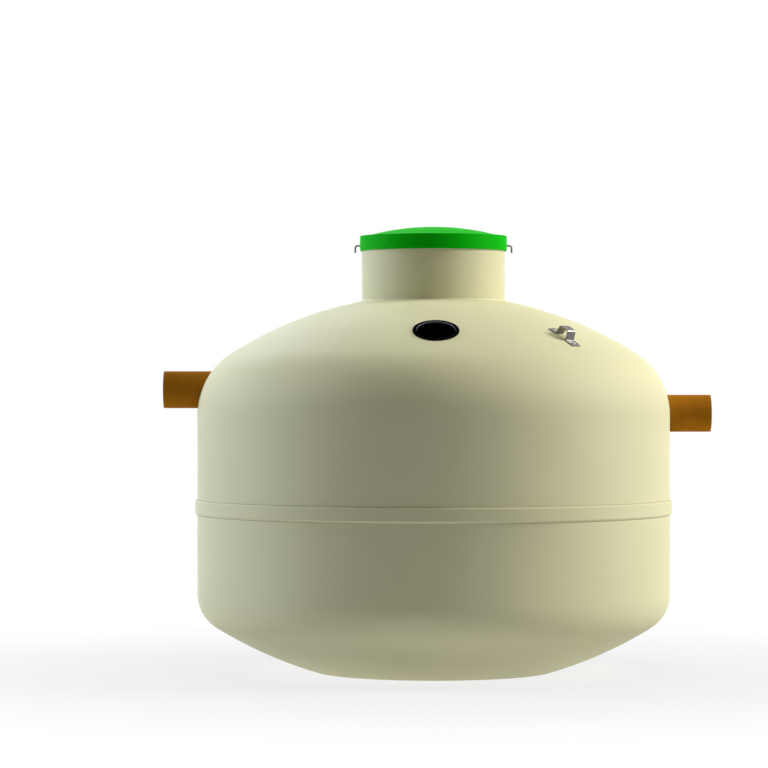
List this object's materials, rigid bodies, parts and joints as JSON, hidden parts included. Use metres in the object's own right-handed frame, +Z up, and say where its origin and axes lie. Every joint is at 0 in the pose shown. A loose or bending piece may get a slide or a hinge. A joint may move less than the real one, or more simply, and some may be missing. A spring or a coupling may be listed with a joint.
{
  "type": "oil separator tank",
  "caption": "Squat round oil separator tank with dished ends, a belt, a neck with a pinned lid, an inlet and an outlet pipe, a ring seal and lifting lugs.",
  "frame": {"origin": "centre of the flat foot under the dished base, on the tank's axis", "axes": "+Z up along the tank's axis, +X towards the outlet pipe, -Y the front, where the ring seal is"},
  "size_m": [2.364, 2.0588, 1.9204],
  "materials": {
    "tank_laminate": "satin gel coat",
    "lid_laminate": "satin gel coat",
    "pipe_plastic": "smooth",
    "seal_rubber": "matt",
    "gasket_rubber": "matt",
    "lug_steel": "galvanised",
    "pin_steel": "galvanised"
  },
  "bodies": {
    "tank": {"dished_base": "tank_laminate", "joint_belt": "tank_laminate", "domed_roof": "tank_laminate", "neck": "tank_laminate", "vent_seal": "seal_rubber", "inlet_pipe": "pipe_plastic", "outlet_pipe": "pipe_plastic", "lower_wall_front": "tank_laminate", "lower_wall_right": "tank_laminate", "lower_wall_back": "tank_laminate", "lower_wall_left": "tank_laminate", "upper_wall_front": "tank_laminate", "upper_wall_right": "tank_laminate", "upper_wall_back": "tank_laminate", "upper_wall_left": "tank_laminate", "lifting_lug_front_right": "lug_steel", "lifting_lug_back_left": "lug_steel"},
    "lid": {"lid": "lid_laminate", "lid_gasket": "gasket_rubber"},
    "locking_pin_left": {"locking_pin_left": "pin_steel"},
    "locking_pin_right": {"locking_pin_right": "pin_steel"}
  },
  "joints": [
    {"name": "lid_lift", "type": "slide", "parent": "tank", "child": "lid", "axis": [0, 0, 1], "range_m": [0, 0.3]},
    {"name": "locking_pin_left_slide", "type": "slide", "parent": "lid", "child": "locking_pin_left", "axis": [-1, 0, 0], "range_m": [0, 0.03]},
    {"name": "locking_pin_right_slide", "type": "slide", "parent": "lid", "child": "locking_pin_right", "axis": [1, 0, 0], "range_m": [0, 0.03]}
  ]
}
